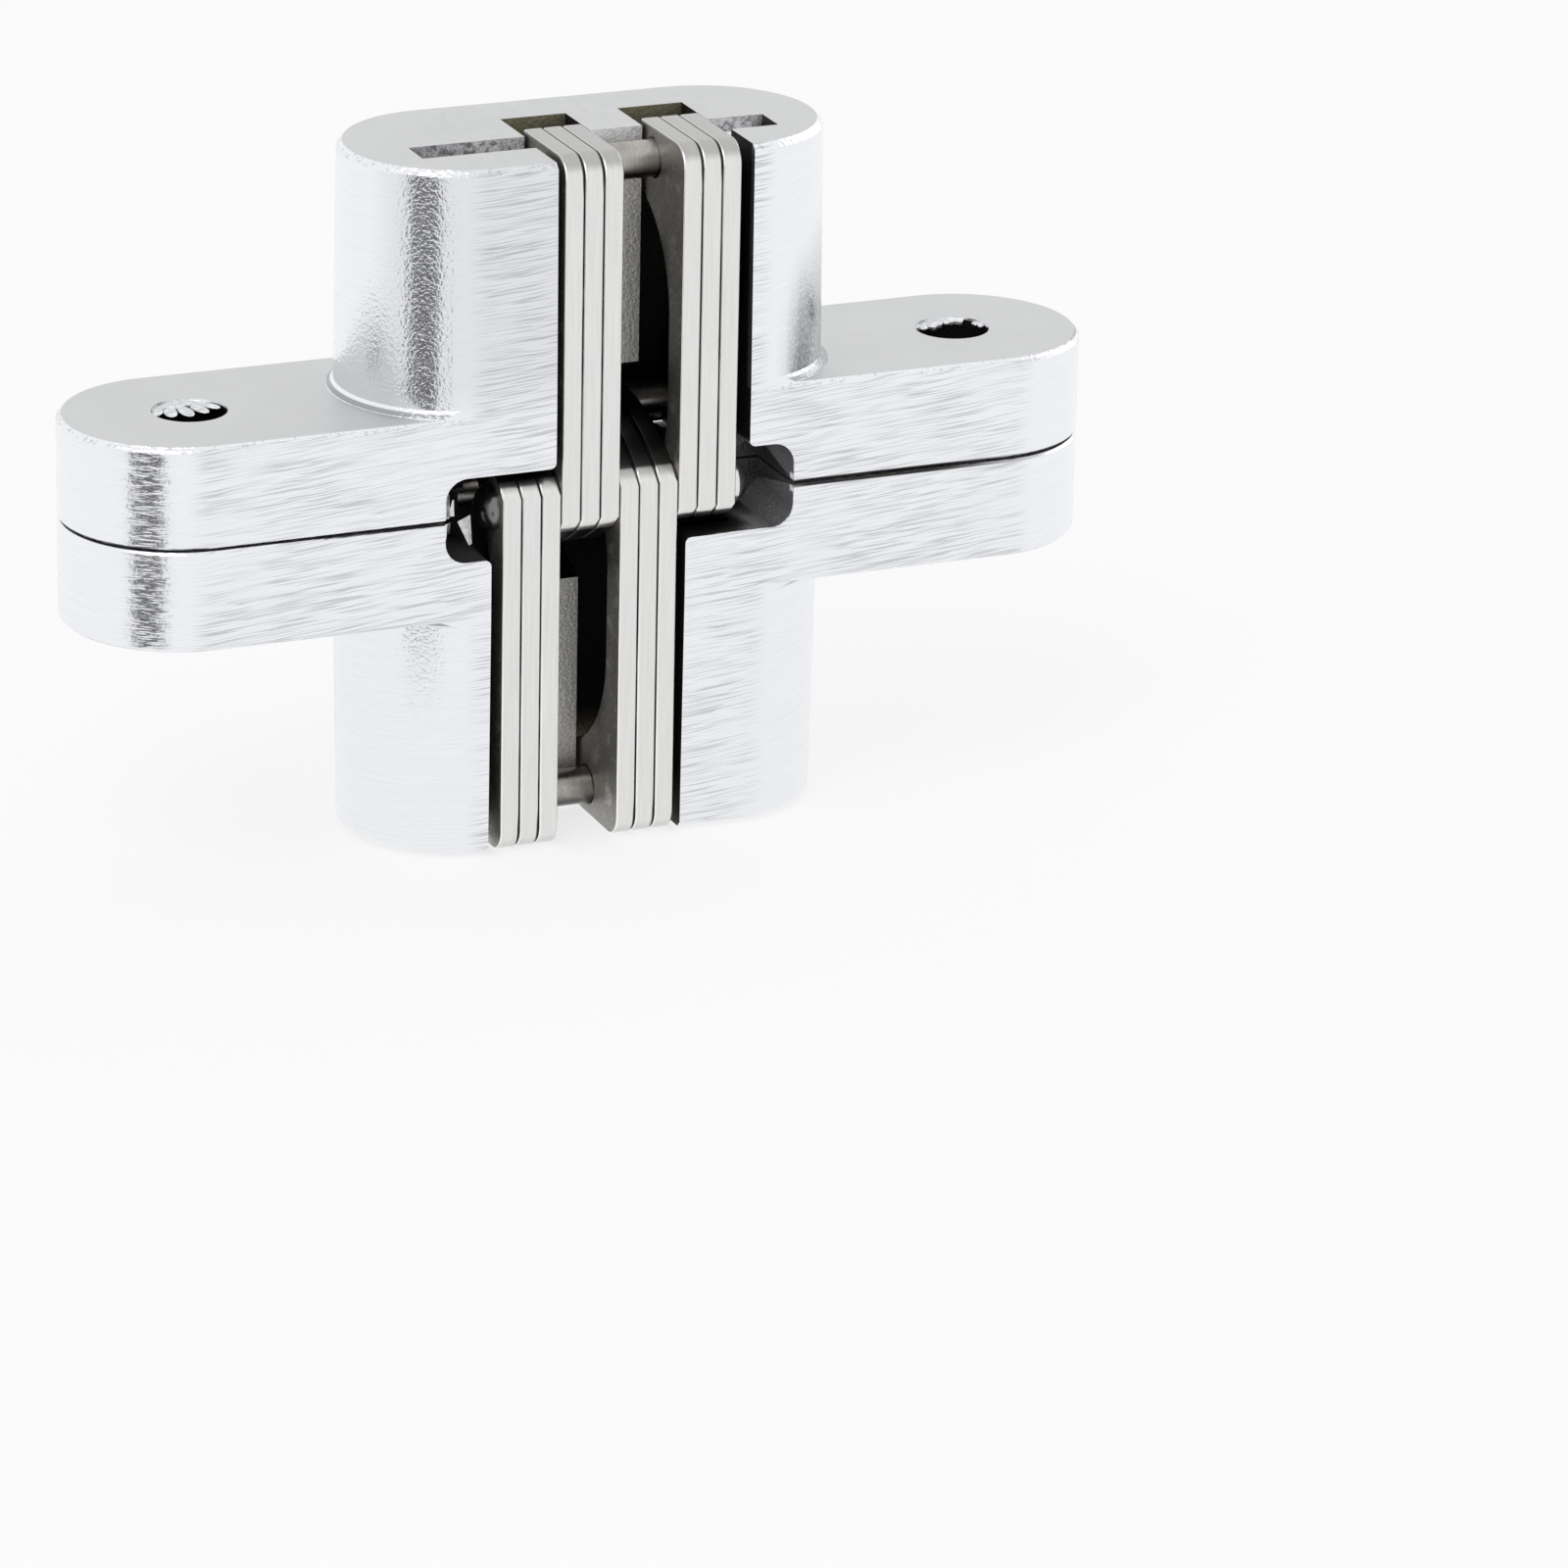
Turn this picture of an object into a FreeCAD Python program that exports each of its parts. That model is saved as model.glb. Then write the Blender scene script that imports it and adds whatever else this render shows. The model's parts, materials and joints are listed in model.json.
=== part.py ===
"""Concealed door hinge: two die-cast leaves that fold half a turn apart on two crossed sets of link plates.

The closed hinge is modelled. Its parting plane is z = 0, the length runs along X, the side on which the
links show is -Y, and the leaves swing apart towards +Y. The lower leaf and its links are the upper ones
turned half round about Y. All sizes are in millimetres.
"""
import FreeCAD
import Part

import math
import os

# Leaves
LEAF_LENGTH = 117.5
LEAF_WIDTH = 25.8
FLANGE_THICKNESS = 11.4
BODY_LENGTH = 55.0
BODY_DEPTH = 38.5
BODY_DRAFT = 0.012
PARTING_GAP = 0.3
PARTING_EDGE_CHAMFER = 0.25
FLANGE_EDGE_CHAMFER = 0.55
BODY_EDGE_CHAMFER = 0.65
ROOT_CHAMFER = 0.8

# Screw holes, sunk from the parting face
SCREW_SPACING = 89.0
SCREW_HOLE_RADIUS = 4.1
COUNTERSINK_RADIUS = 6.3
COUNTERSINK_ANGLE = 82.0

# Pins
PIVOT_PIN_RADIUS = 1.75
PIVOT_PIN_LENGTH = 40.0
SLIDE_PIN_RADIUS = 2.05
SLIDE_PIN_LENGTH = 40.0
CENTRE_PIN_RADIUS = 2.15
PIN_END_CHAMFER = 0.3
RIVET_HEAD_RADIUS = 2.55
RIVET_HEAD_LAND = 0.7
RIVET_HEAD_DOME = 1.3

# Fits
RUNNING_CLEARANCE = 0.05
TIGHT_CLEARANCE = 0.02
SWING_CLEARANCE = 0.3
PIN_END_CLEARANCE = 0.4

# Link plates
PLATE_THICKNESS = 2.2
PLATE_GAP = 0.06
PLATES_PER_STACK = 3
LINK_INSET = 0.3
BAR_WIDTH = 3.8
HEAD_WIDTH = 12.6
HEAD_LENGTH = 19.5
HEAD_PROUD = 0.4
HEAD_CORNER_RADIUS = 2.6
HEAD_SWEEP_RADIUS = 13.0
EYE_WALL = 1.25
HUB_WALL = 1.5
HUB_BLEND_RADIUS = 10.0
ARM_DIP = 2.3
ARM_BACK_RADIUS = 24.0
BEVEL_START = 1.6
BEVEL_SIZE = 1.4

# Where the pins lie
BACK_WALL = 0.85
PIVOT_DEPTH = 4.2
CENTRE_PIN_INSET = 3.6
SLIDE_PIN_INSET = 9.1
SLIDE_PIN_SUNK = 0.95

# Hollows of a leaf
TROUGH_LEFT_CLEARANCE = 0.78
TROUGH_RIGHT_CLEARANCE = 1.37
SLOT_CLEARANCE = 0.38
SLOT_DEPTH = 18.5
SLOT_FLARE_HEIGHT = 19.0
RIB_FOOT = 12.0
GROOVE_RUN_OUT = 1.8
MOUTH_LENGTH = 40.4
MOUTH_HEIGHT = 4.77
MOUTH_DEPTH = 10.2
MOUTH_CORNER_RADIUS = 2.5
STAKE_LENGTH = 2.0
STAKE_OPENING = 2.6

# Places that follow from the sizes above, as (y, z) in the closed hinge
FRONT = -LEAF_WIDTH / 2
BACK = LEAF_WIDTH / 2
EYE_RADIUS = PIVOT_PIN_RADIUS + RUNNING_CLEARANCE + EYE_WALL
HUB_RADIUS = CENTRE_PIN_RADIUS + RUNNING_CLEARANCE + HUB_WALL
PIVOT = (BACK - BACK_WALL - SWING_CLEARANCE - EYE_RADIUS, PIVOT_DEPTH)
CENTRE = (FRONT + CENTRE_PIN_INSET, 0.0)
SLIDE = (FRONT + SLIDE_PIN_INSET, BODY_DEPTH - SLIDE_PIN_SUNK - SLIDE_PIN_RADIUS)
STACK_WIDTH = PLATES_PER_STACK * (PLATE_THICKNESS + PLATE_GAP)
GROOVE_BACK = SLIDE[0] + SLIDE_PIN_RADIUS + SWING_CLEARANCE / 2
OVERSHOOT = 1.0


def in_section(place, x=0.0):
    """Point of the section plane, given as (y, z)."""
    return FreeCAD.Vector(x, place[0], place[1])


def turned(place, angle):
    """Place turned about X by an angle in radians."""
    y, z = place
    return (y * math.cos(angle) - z * math.sin(angle), y * math.sin(angle) + z * math.cos(angle))


def shifted(place, step):
    return (place[0] + step[0], place[1] + step[1])


def step_between(start, end):
    return (end[0] - start[0], end[1] - start[1])


def distance(start, end):
    return math.hypot(*step_between(start, end))


def towards(start, end, reach):
    """Place at the given reach from start on the line to end."""
    step = step_between(start, end)
    share = reach / math.hypot(*step)
    return (start[0] + step[0] * share, start[1] + step[1] * share)


def circle_meeting(first, first_reach, second, second_reach):
    """Place at both reaches from two places, on the left of the line from the first to the second."""
    span = distance(first, second)
    along = (first_reach ** 2 - second_reach ** 2 + span ** 2) / (2 * span)
    off = math.sqrt(first_reach ** 2 - along ** 2)
    foot = towards(first, second, along)
    step = step_between(first, second)
    return (foot[0] - step[1] * off / span, foot[1] + step[0] * off / span)


def root(function, low, high):
    """Where a function that changes sign between low and high is zero."""
    for _ in range(60):
        middle = (low + high) / 2
        if (function(middle) > 0) == (function(high) > 0):
            high = middle
        else:
            low = middle
    return (low + high) / 2


def slide_place(pivot_turn, slide_turn):
    """Where the slide pin lies in its leaf when the crossed links have turned by these angles."""
    centre = shifted(PIVOT, turned(step_between(PIVOT, CENTRE), pivot_turn))
    return shifted(centre, turned(step_between(CENTRE, SLIDE), slide_turn))


def opening_turns():
    """Turns of the links about the pivot and the slide pin when the leaves lie half a turn apart."""
    def off_line(pivot_turn):
        return slide_place(pivot_turn, math.pi - pivot_turn)[0] - SLIDE[0]

    pivot_turn = root(off_line, math.radians(95), math.radians(160))
    return pivot_turn, math.pi - pivot_turn


def outline(*pieces):
    """Closed wire in the section plane from runs of places: two make a line and three an arc."""
    edges = []
    for piece in pieces:
        points = [in_section(place) for place in piece]
        if len(points) == 2:
            edges.append(Part.LineSegment(*points).toShape())
        else:
            edges.append(Part.Arc(*points).toShape())
    return Part.Wire(edges)


def polygon(*places):
    """Closed wire in the section plane with straight sides."""
    return outline(*zip(places, places[1:] + places[:1]))


def slab(wire, start, end):
    """Solid with this section from x = start to x = end."""
    solid = Part.Face(wire).extrude(FreeCAD.Vector(end - start, 0, 0))
    solid.translate(FreeCAD.Vector(start, 0, 0))
    return solid


def box(x_range, y_range, z_range):
    corner = FreeCAD.Vector(x_range[0], y_range[0], z_range[0])
    sizes = [high - low for low, high in (x_range, y_range, z_range)]
    return Part.makeBox(*sizes, corner)


def cross_bar(place, radius, start, end):
    """Round bar along X at a place of the section."""
    return Part.makeCylinder(radius, end - start, in_section(place, start), FreeCAD.Vector(1, 0, 0))


def arc_middle(centre, radius, start, end):
    """Place halfway round the shorter arc from start to end."""
    middle = ((start[0] + end[0]) / 2, (start[1] + end[1]) / 2)
    return towards(centre, middle, radius)


def link_wire():
    """Outline of an upper link: arm and eye below, hub at the centre pin, bar, and the head that slides."""
    front = FRONT + LINK_INSET
    top = BODY_DEPTH + HEAD_PROUD
    head_back = front + HEAD_WIDTH
    bar_back = front + BAR_WIDTH
    eye = (PIVOT[0], -PIVOT[1])

    sweep_centre = (bar_back + HEAD_SWEEP_RADIUS, BODY_DEPTH - HEAD_LENGTH)
    sweep_rise = math.sqrt(HEAD_SWEEP_RADIUS ** 2 - (sweep_centre[0] - head_back) ** 2)
    sweep_start = (bar_back, sweep_centre[1])
    sweep_end = (head_back, sweep_centre[1] + sweep_rise)

    blend_y = bar_back + HUB_BLEND_RADIUS
    blend_reach = HUB_BLEND_RADIUS + HUB_RADIUS
    blend_centre = (blend_y, math.sqrt(blend_reach ** 2 - (blend_y - CENTRE[0]) ** 2))
    blend_start = (bar_back, blend_centre[1])
    blend_end = towards(CENTRE, blend_centre, HUB_RADIUS)

    def dip(radius):
        """How far an arc that touches the hub and the eye passes beyond the line between their centres."""
        span = distance(CENTRE, eye)
        along = ((radius + HUB_RADIUS) ** 2 - (radius + EYE_RADIUS) ** 2 + span ** 2) / (2 * span)
        return radius - math.sqrt(max((radius + HUB_RADIUS) ** 2 - along ** 2, 0.0)) - ARM_DIP

    least = (distance(CENTRE, eye) - HUB_RADIUS - EYE_RADIUS) / 2
    inner_radius = root(dip, least, 20 * least)
    inner_centre = circle_meeting(CENTRE, inner_radius + HUB_RADIUS, eye, inner_radius + EYE_RADIUS)
    inner_start = towards(CENTRE, inner_centre, HUB_RADIUS)
    inner_end = towards(eye, inner_centre, EYE_RADIUS)

    bevel_top = (front, -BEVEL_START)
    bevel_foot = (front + BEVEL_SIZE, -BEVEL_START - BEVEL_SIZE)
    outer_centre = circle_meeting(bevel_foot, ARM_BACK_RADIUS, eye, ARM_BACK_RADIUS - EYE_RADIUS)
    outer_start = towards(eye, outer_centre, -EYE_RADIUS)
    eye_far = towards(eye, CENTRE, -EYE_RADIUS)

    return outline(
        (bevel_top, (front, top)),
        ((front, top), (head_back, top)),
        ((head_back, top), sweep_end),
        (sweep_end, arc_middle(sweep_centre, HEAD_SWEEP_RADIUS, sweep_end, sweep_start), sweep_start),
        (sweep_start, blend_start),
        (blend_start, arc_middle(blend_centre, HUB_BLEND_RADIUS, blend_start, blend_end), blend_end),
        (blend_end, arc_middle(CENTRE, HUB_RADIUS, blend_end, inner_start), inner_start),
        (inner_start, arc_middle(inner_centre, inner_radius, inner_start, inner_end), inner_end),
        (inner_end, eye_far, outer_start),
        (outer_start, arc_middle(outer_centre, ARM_BACK_RADIUS, outer_start, bevel_foot), bevel_foot),
        (bevel_foot, bevel_top),
    )


def arm_room():
    """Section of the hollow over a lower link's arm and eye, from the mouth to the back wall."""
    front = FRONT + LINK_INSET
    bevel_foot = (front + BEVEL_SIZE, BEVEL_START + BEVEL_SIZE)
    outer_centre = circle_meeting(PIVOT, ARM_BACK_RADIUS - EYE_RADIUS, bevel_foot, ARM_BACK_RADIUS)
    room_radius = ARM_BACK_RADIUS + SWING_CLEARANCE
    eye_room = EYE_RADIUS + SWING_CLEARANCE
    ceiling = max(MOUTH_HEIGHT, BEVEL_START + BEVEL_SIZE + SWING_CLEARANCE)
    run = math.sqrt(room_radius ** 2 - (ceiling - outer_centre[1]) ** 2)
    arc_start = (outer_centre[0] - run, ceiling)
    arc_end = towards(PIVOT, outer_centre, -eye_room)
    eye_back = (PIVOT[0] + eye_room, PIVOT[1])
    return outline(
        ((FRONT - OVERSHOOT, -OVERSHOOT), (FRONT - OVERSHOOT, ceiling)),
        ((FRONT - OVERSHOOT, ceiling), arc_start),
        (arc_start, arc_middle(outer_centre, room_radius, arc_start, arc_end), arc_end),
        (arc_end, arc_middle(PIVOT, eye_room, arc_end, eye_back), eye_back),
        (eye_back, (eye_back[0], -OVERSHOOT)),
        ((eye_back[0], -OVERSHOOT), (FRONT - OVERSHOOT, -OVERSHOOT)),
    )


def wall_wire(bottom, bottom_chamfer, top, top_chamfer, run_in):
    """Half section of a leaf's wall, from its axis out: straight to the flange's back, then drafted."""
    reach = LEAF_WIDTH / 2
    top_reach = reach - run_in
    places = [(0, bottom), (reach - bottom_chamfer, bottom)]
    if bottom_chamfer:
        places.append((reach, bottom + bottom_chamfer))
    if run_in:
        places.append((reach, FLANGE_THICKNESS))
    places.append((top_reach, top - top_chamfer))
    places.append((top_reach - top_chamfer, top))
    places.append((0, top))
    return polygon(*places)


def long_round(wire, length):
    """Slot-shaped block with this half section all round, such as a leaf's flange or body."""
    reach = (length - LEAF_WIDTH) / 2
    half = slab(wire, -reach, reach)
    other = half.copy()
    other.rotate(FreeCAD.Vector(), FreeCAD.Vector(0, 0, 1), 180)
    pieces = [other]
    for x in (-reach, reach):
        end = Part.Face(wire).revolve(FreeCAD.Vector(), FreeCAD.Vector(0, 0, 1), 360)
        end.translate(FreeCAD.Vector(x, 0, 0))
        pieces.append(end)
    return half.fuse(pieces).removeSplitter()


def root_chamfers():
    """Sloped feet where the body's round ends stand on the flange."""
    reach = LEAF_WIDTH / 2
    wall = reach - ROOT_CHAMFER
    foot = FLANGE_THICKNESS - ROOT_CHAMFER / 2
    head = FLANGE_THICKNESS + ROOT_CHAMFER
    section = Part.Face(polygon(
        (wall, foot),
        (reach + ROOT_CHAMFER, foot),
        (reach + ROOT_CHAMFER, FLANGE_THICKNESS),
        (reach - BODY_DRAFT * ROOT_CHAMFER, head),
        (wall, head),
    ))
    flat = BACK - FLANGE_EDGE_CHAMFER
    feet = []
    for side in (-1, 1):
        axis = FreeCAD.Vector(side * (BODY_LENGTH - LEAF_WIDTH) / 2, 0, 0)
        ring = section.revolve(FreeCAD.Vector(), FreeCAD.Vector(0, 0, 1), 360)
        ring.translate(axis)
        outer_half = (axis.x, axis.x + side * LEAF_LENGTH)
        feet.append(ring.common(box(sorted(outer_half), (-flat, flat), (foot, head))))
    return feet


def screw_holes():
    """Plain holes with a countersink at the parting face."""
    sink = COUNTERSINK_RADIUS - SCREW_HOLE_RADIUS
    sink_depth = sink / math.tan(math.radians(COUNTERSINK_ANGLE / 2))
    up = FreeCAD.Vector(0, 0, 1)
    holes = []
    for x in (-SCREW_SPACING / 2, SCREW_SPACING / 2):
        base = FreeCAD.Vector(x, 0, 0)
        holes.append(Part.makeCylinder(SCREW_HOLE_RADIUS, FLANGE_THICKNESS + OVERSHOOT, base, up))
        face = base + FreeCAD.Vector(0, 0, PARTING_GAP / 2)
        holes.append(Part.makeCone(COUNTERSINK_RADIUS, SCREW_HOLE_RADIUS, sink_depth, face, up))
    return holes


def slide_groove():
    """Groove of the slide pin through the side walls, bowed to the front between its two ends."""
    pivot_turn, slide_turn = opening_turns()
    path = [slide_place(pivot_turn * n / 20, slide_turn * n / 20) for n in range(1, 21)]
    lip = SLIDE[0] - SLIDE_PIN_RADIUS - SWING_CLEARANCE / 2
    shoulder = SLIDE[1] + SLIDE_PIN_RADIUS / 2
    foot = min(z for y, z in path) - SLIDE_PIN_RADIUS - GROOVE_RUN_OUT
    chord = shoulder - foot
    middle = (shoulder + foot) / 2

    def spare(bow):
        """What an arc bowed this far leaves beyond the wanted clearance round the pin on its way."""
        radius = bow / 2 + chord ** 2 / (8 * bow)
        centre = (lip - bow + radius, middle)
        return min(radius - distance(centre, place) for place in path) - SLIDE_PIN_RADIUS - SWING_CLEARANCE

    bow = root(spare, chord / 50, chord / 2)
    wire = outline(
        ((lip, BODY_DEPTH + OVERSHOOT), (lip, shoulder)),
        ((lip, shoulder), (lip - bow, middle), (lip, foot)),
        ((lip, foot), (GROOVE_BACK, foot)),
        ((GROOVE_BACK, foot), (GROOVE_BACK, BODY_DEPTH + OVERSHOOT)),
        ((GROOVE_BACK, BODY_DEPTH + OVERSHOOT), (lip, BODY_DEPTH + OVERSHOOT)),
    )
    reach = SLIDE_PIN_LENGTH / 2 + PIN_END_CLEARANCE
    return slab(wire, -reach, reach)


def pivot_seat():
    """Seat of the pivot pin, open to the parting face and narrowed where metal is staked over the pin."""
    reach = PIVOT_PIN_LENGTH / 2 + PIN_END_CLEARANCE / 2
    radius = PIVOT_PIN_RADIUS + TIGHT_CLEARANCE
    seat = cross_bar(PIVOT, radius, -reach, reach)
    narrow = (PIVOT[0] - STAKE_OPENING / 2, PIVOT[0] + STAKE_OPENING / 2)
    wide = (PIVOT[0] - radius, PIVOT[0] + radius)
    heights = (-OVERSHOOT, PIVOT[1])
    stake = reach - STAKE_LENGTH
    inner = stake - STAKE_LENGTH / 2
    outer = stake + STAKE_LENGTH / 2
    pieces = [box((-reach, reach), narrow, heights)]
    for limits in ((-reach, -outer), (-inner, inner), (outer, reach)):
        pieces.append(box(limits, wide, heights))
    return seat.fuse(pieces)


def link_room():
    """Hollow for both sets of links: front trough, two deep slots with a rib between, and the arms' room."""
    left = -STACK_WIDTH - TROUGH_LEFT_CLEARANCE
    right = 2 * STACK_WIDTH + TROUGH_RIGHT_CLEARANCE
    far_left = -2 * STACK_WIDTH - TROUGH_LEFT_CLEARANCE
    slot_back = FRONT + SLOT_DEPTH
    room_back = PIVOT[0] + EYE_RADIUS + SWING_CLEARANCE
    heights = (-OVERSHOOT, BODY_DEPTH + OVERSHOOT)
    trough = box((left, right), (FRONT - OVERSHOOT, GROOVE_BACK), heights)
    slot = polygon(
        (GROOVE_BACK - OVERSHOOT, heights[0]),
        (room_back, heights[0]),
        (room_back, PIVOT[1] + EYE_RADIUS / 2),
        (slot_back, SLOT_FLARE_HEIGHT),
        (slot_back, heights[1]),
        (GROOVE_BACK - OVERSHOOT, heights[1]),
    )
    under_rib = polygon(
        (GROOVE_BACK - OVERSHOOT, heights[0]),
        (PIVOT[0], heights[0]),
        (PIVOT[0], PIVOT[1] + EYE_RADIUS),
        (GROOVE_BACK, RIB_FOOT),
        (GROOVE_BACK - OVERSHOOT, RIB_FOOT),
    )
    rib = (SLOT_CLEARANCE, STACK_WIDTH - SLOT_CLEARANCE)
    return trough.fuse([
        slab(slot, -STACK_WIDTH - SLOT_CLEARANCE, rib[0]),
        slab(slot, rib[1], 2 * STACK_WIDTH + SLOT_CLEARANCE),
        slab(under_rib, *rib),
        slab(arm_room(), far_left, right),
    ])


def mouth():
    """Shallow recess across the parting plane, beside and around the links."""
    reach = MOUTH_LENGTH / 2
    recess = box((-reach, reach), (FRONT - OVERSHOOT, FRONT + MOUTH_DEPTH), (-MOUTH_HEIGHT, MOUTH_HEIGHT))
    corners = [edge for edge in recess.Edges
               if abs(edge.Vertexes[0].Y - edge.Vertexes[-1].Y) > MOUTH_DEPTH]
    return recess.makeFillet(MOUTH_CORNER_RADIUS, corners)


def housing():
    """Upper leaf: one casting with a screw flange and a body that holds the links."""
    run_in = BODY_DRAFT * (BODY_DEPTH - FLANGE_THICKNESS)
    flange_wire = wall_wire(PARTING_GAP / 2, PARTING_EDGE_CHAMFER, FLANGE_THICKNESS, FLANGE_EDGE_CHAMFER, 0)
    body_foot = FLANGE_THICKNESS - 2 * FLANGE_EDGE_CHAMFER
    body_wire = wall_wire(body_foot, 0, BODY_DEPTH, BODY_EDGE_CHAMFER, run_in)
    body = [long_round(body_wire, BODY_LENGTH), *root_chamfers()]
    casting = long_round(flange_wire, LEAF_LENGTH).fuse(body).removeSplitter()
    hollows = [link_room(), slide_groove(), mouth(), pivot_seat(), *screw_holes()]
    return casting.cut(hollows).removeSplitter()


def plain_pin(place, radius, length):
    """Headless pin with chamfered ends."""
    pin = cross_bar(place, radius, -length / 2, length / 2)
    rims = [edge for edge in pin.Edges if len(edge.Vertexes) == 1]
    return pin.makeChamfer(PIN_END_CHAMFER, rims)


def centre_pin():
    """Rivet through all the plates, with a land and a domed head at each end."""
    reach = 2 * STACK_WIDTH
    dome_radius = (RIVET_HEAD_RADIUS ** 2 + RIVET_HEAD_DOME ** 2) / (2 * RIVET_HEAD_DOME)
    pin = cross_bar(CENTRE, CENTRE_PIN_RADIUS, -reach - RIVET_HEAD_LAND / 2, reach + RIVET_HEAD_LAND / 2)
    for side in (-1, 1):
        land_end = side * (reach + RIVET_HEAD_LAND)
        tip = side * (reach + RIVET_HEAD_LAND + RIVET_HEAD_DOME)
        ball = Part.makeSphere(dome_radius, in_section(CENTRE, tip - side * dome_radius))
        dome = ball.common(cross_bar(CENTRE, RIVET_HEAD_RADIUS, *sorted((land_end, tip + side))))
        land = cross_bar(CENTRE, RIVET_HEAD_RADIUS, *sorted((side * reach, land_end)))
        pin = pin.fuse([land, dome])
    return pin.removeSplitter()


def link_plate(start, centre_clearance):
    """Stamped plate of the upper set from x = start, bored for its three pins."""
    plate = slab(link_wire(), start, start + PLATE_THICKNESS)
    nose = (FRONT + LINK_INSET, BODY_DEPTH + HEAD_PROUD)
    corner = [edge for edge in plate.Edges
              if distance(nose, (edge.CenterOfMass.y, edge.CenterOfMass.z)) < 0.01]
    plate = plate.makeFillet(HEAD_CORNER_RADIUS, corner)
    eye = (PIVOT[0], -PIVOT[1])
    bores = [
        (eye, PIVOT_PIN_RADIUS + RUNNING_CLEARANCE),
        (CENTRE, CENTRE_PIN_RADIUS + centre_clearance),
        (SLIDE, SLIDE_PIN_RADIUS + TIGHT_CLEARANCE),
    ]
    ends = (start - OVERSHOOT, start + PLATE_THICKNESS + OVERSHOOT)
    return plate.cut([cross_bar(place, radius, *ends) for place, radius in bores])


def upper_half(centre_clearance):
    """Named pieces of the upper leaf and of the links that slide in it."""
    pieces = {
        "housing": housing(),
        "pivot_pin": plain_pin(PIVOT, PIVOT_PIN_RADIUS, PIVOT_PIN_LENGTH),
        "slide_pin": plain_pin(SLIDE, SLIDE_PIN_RADIUS, SLIDE_PIN_LENGTH),
    }
    number = 1
    for stack_start in (-STACK_WIDTH, STACK_WIDTH):
        for n in range(PLATES_PER_STACK):
            start = stack_start + PLATE_GAP / 2 + n * (PLATE_THICKNESS + PLATE_GAP)
            pieces["link_%d" % number] = link_plate(start, centre_clearance)
            number += 1
    return pieces


def build():
    """All the pieces of the closed hinge by node name."""
    hinge = {"centre_pin": centre_pin()}
    for name, piece in upper_half(RUNNING_CLEARANCE).items():
        hinge["upper_" + name] = piece
    for name, piece in upper_half(TIGHT_CLEARANCE).items():
        piece.rotate(FreeCAD.Vector(), FreeCAD.Vector(0, 1, 0), 180)
        hinge["lower_" + name] = piece
    return hinge


def main():
    os.makedirs("parts", exist_ok=True)
    for name, piece in build().items():
        piece.exportStep(os.path.join("parts", name + ".step"))


main()
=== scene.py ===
"""Looks of the concealed door hinge: brushed leaves, stamped link plates, pins, casting flash and studio.

Finishes and new pieces are placed in millimetres in the hinge's own frame: x runs along the leaves, -y is
the side on which the links show, and z is 0 on the parting plane.
"""

import json
import math

import bmesh
import bpy
from bpy.props import FloatProperty, FloatVectorProperty, PointerProperty
from mathutils import Matrix, Vector

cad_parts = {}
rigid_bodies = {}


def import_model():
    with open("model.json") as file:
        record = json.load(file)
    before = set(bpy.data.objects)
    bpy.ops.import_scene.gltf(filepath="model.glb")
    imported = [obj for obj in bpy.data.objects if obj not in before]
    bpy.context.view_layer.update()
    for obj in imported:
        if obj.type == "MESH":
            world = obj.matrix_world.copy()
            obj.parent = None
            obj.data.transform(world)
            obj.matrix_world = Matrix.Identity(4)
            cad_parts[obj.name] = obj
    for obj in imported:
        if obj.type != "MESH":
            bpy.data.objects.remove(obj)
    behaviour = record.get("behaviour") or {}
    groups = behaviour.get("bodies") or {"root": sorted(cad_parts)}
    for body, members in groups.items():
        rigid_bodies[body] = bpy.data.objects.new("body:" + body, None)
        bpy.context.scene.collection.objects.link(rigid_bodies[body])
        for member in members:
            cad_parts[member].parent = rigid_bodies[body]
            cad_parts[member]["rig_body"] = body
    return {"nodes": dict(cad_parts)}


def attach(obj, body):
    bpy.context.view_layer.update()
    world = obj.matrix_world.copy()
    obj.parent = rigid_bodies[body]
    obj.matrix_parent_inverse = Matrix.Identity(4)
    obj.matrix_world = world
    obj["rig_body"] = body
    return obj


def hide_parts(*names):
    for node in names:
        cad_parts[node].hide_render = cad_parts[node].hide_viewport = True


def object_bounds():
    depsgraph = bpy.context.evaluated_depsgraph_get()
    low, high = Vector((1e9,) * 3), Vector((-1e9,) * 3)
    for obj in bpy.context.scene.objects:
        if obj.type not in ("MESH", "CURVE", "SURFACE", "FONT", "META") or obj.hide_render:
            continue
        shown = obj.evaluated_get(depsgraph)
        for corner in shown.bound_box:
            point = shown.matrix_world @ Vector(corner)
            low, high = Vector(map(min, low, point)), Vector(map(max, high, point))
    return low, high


bl_info = {
    "name": "Concealed Door Hinge",
    "version": (1, 0, 0),
    "blender": (4, 5, 0),
    "location": "3D View > Sidebar > Hinge",
    "description": "Finishes the pieces of a concealed door hinge and sets up a studio round it",
    "category": "Object",
}

MM = 0.001

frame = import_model()
CAD_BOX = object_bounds()
NODES = frame["nodes"]
LEAVES = ("upper", "lower")
LINKS_A_LEAF = 6

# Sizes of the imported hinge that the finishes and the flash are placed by, in millimetres. A reach is half
# the distance between the middles of a slot shape's round ends.
SCREW_SPACING = 89.0
SCREW_HOLE_RADIUS = 4.1
FLANGE_TOP = 11.4
END_FACE = 38.5
LEAF_WIDTH = 25.8
FLANGE_REACH = 45.85
BODY_REACH = 14.6
STACK_WIDTH = 6.78
RIB_MIDDLE = STACK_WIDTH / 2
LAST_PLATE = 2 * STACK_WIDTH
PLATE_FRONT = -12.6
MOUTH_HEIGHT = 4.77

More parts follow.
